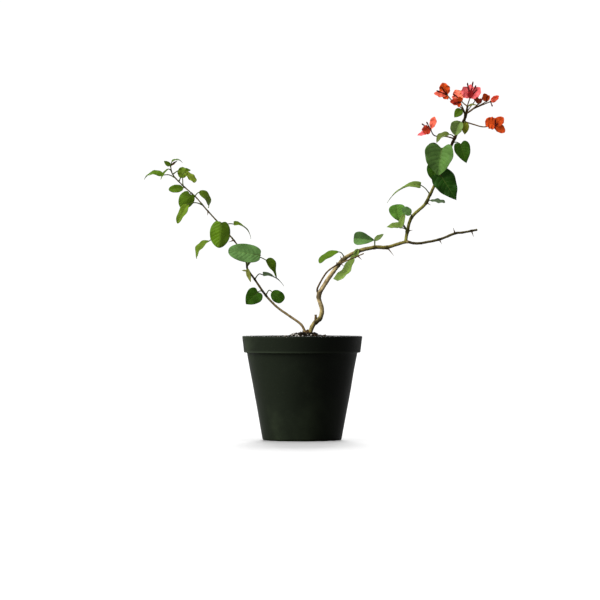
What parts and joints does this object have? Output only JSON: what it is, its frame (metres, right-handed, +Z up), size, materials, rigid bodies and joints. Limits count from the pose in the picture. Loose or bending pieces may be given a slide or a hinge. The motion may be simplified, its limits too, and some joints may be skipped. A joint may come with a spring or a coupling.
{
  "type": "potted bougainvillea",
  "caption": "Young bougainvillea in a round nursery pot, with a leafy left stem, a longer right stem, a bare thorny branch and a spray of orange-red bracts at the top.",
  "frame": {"origin": "centre of the pot's flat underside", "axes": "+Z up, +X towards the flowering stem's side, -Y towards the viewer of the reference view"},
  "size_m": [0.542, 0.18, 0.5362],
  "materials": {
    "pot_plastic": "satin",
    "potting_mix": "matte",
    "bark": "matte",
    "leaf": "satin",
    "bract": "satin"
  },
  "bodies": {
    "root": {"pot": "pot_plastic", "potting_soil": "potting_mix", "trunk": "bark", "left_stem": "bark", "bare_branch": "bark", "side_twig": "bark", "upper_bough": "bark", "left_lower_foliage": "leaf", "left_middle_foliage": "leaf", "left_tip_foliage": "leaf", "right_middle_foliage": "leaf", "right_top_foliage": "leaf", "trunk_left_spray": "leaf", "trunk_middle_spray": "leaf", "trunk_right_spray": "leaf", "bough_lower_spray": "leaf", "bough_upper_spray": "leaf", "blossom_cluster": "bract"}
  },
  "joints": []
}
